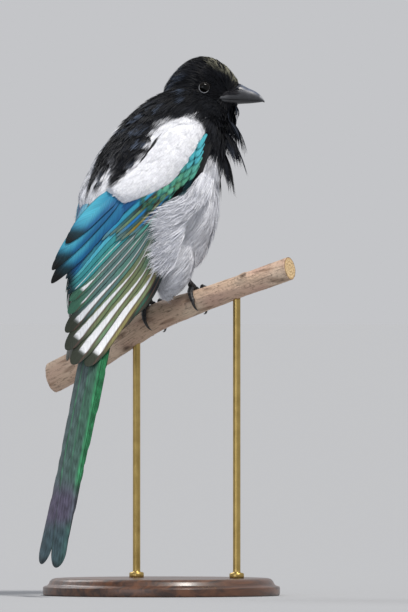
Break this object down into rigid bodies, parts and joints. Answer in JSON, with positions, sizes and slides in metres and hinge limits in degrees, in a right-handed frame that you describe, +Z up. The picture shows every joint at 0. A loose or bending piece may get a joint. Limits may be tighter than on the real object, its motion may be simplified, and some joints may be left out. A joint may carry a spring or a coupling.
{
  "type": "eurasian magpie model on a perch",
  "caption": "Life-size perched black and white crow-family bird with long tail, folded wings and turned head, on a cut branch held by a flat base with rods.",
  "frame": {"origin": "centre of the stand's underside, on the floor", "axes": "+Z up, +X the way the breast faces, +Y the bird's left side"},
  "size_m": [0.2275, 0.2145, 0.433],
  "materials": {
    "black_feathers": "black plumage with a soft grey sheen",
    "white_feathers": "white plumage with cool grey shade",
    "blue_feathers": "glossy iridescent blue and green flight feathers",
    "green_feathers": "glossy iridescent green tail feathers, violet and blue near the tip",
    "bill_horn": "dark grey horn with a satin sheen",
    "claw_horn": "black horn, satin",
    "eye": "wet dark brown",
    "leg_scales": "black scaled skin, matt",
    "bark": "pale tan bark with knots",
    "stand_wood": "dark stained wood, satin",
    "stand_brass": "brushed brass"
  },
  "bodies": {
    "root": {"head": "black_feathers", "bill_upper": "bill_horn", "bill_lower": "bill_horn", "eye_right": "eye", "eye_left": "eye", "neck": "black_feathers", "torso": "black_feathers", "tail": "green_feathers", "wing_right": "blue_feathers", "wing_left": "blue_feathers", "scapular_right": "white_feathers", "scapular_left": "white_feathers", "tarsus_right": "leg_scales", "toe_right_hallux": "leg_scales", "claw_right_hallux": "claw_horn", "toe_right_inner": "leg_scales", "claw_right_inner": "claw_horn", "toe_right_middle": "leg_scales", "claw_right_middle": "claw_horn", "toe_right_outer": "leg_scales", "claw_right_outer": "claw_horn", "thigh_right": "white_feathers", "tarsus_left": "leg_scales", "toe_left_hallux": "leg_scales", "claw_left_hallux": "claw_horn", "toe_left_inner": "leg_scales", "claw_left_inner": "claw_horn", "toe_left_middle": "leg_scales", "claw_left_middle": "claw_horn", "toe_left_outer": "leg_scales", "claw_left_outer": "claw_horn", "thigh_left": "white_feathers", "perch": "bark", "stand_base": "stand_wood", "stand_rod_1": "stand_brass", "stand_rod_2": "stand_brass"}
  },
  "joints": []
}
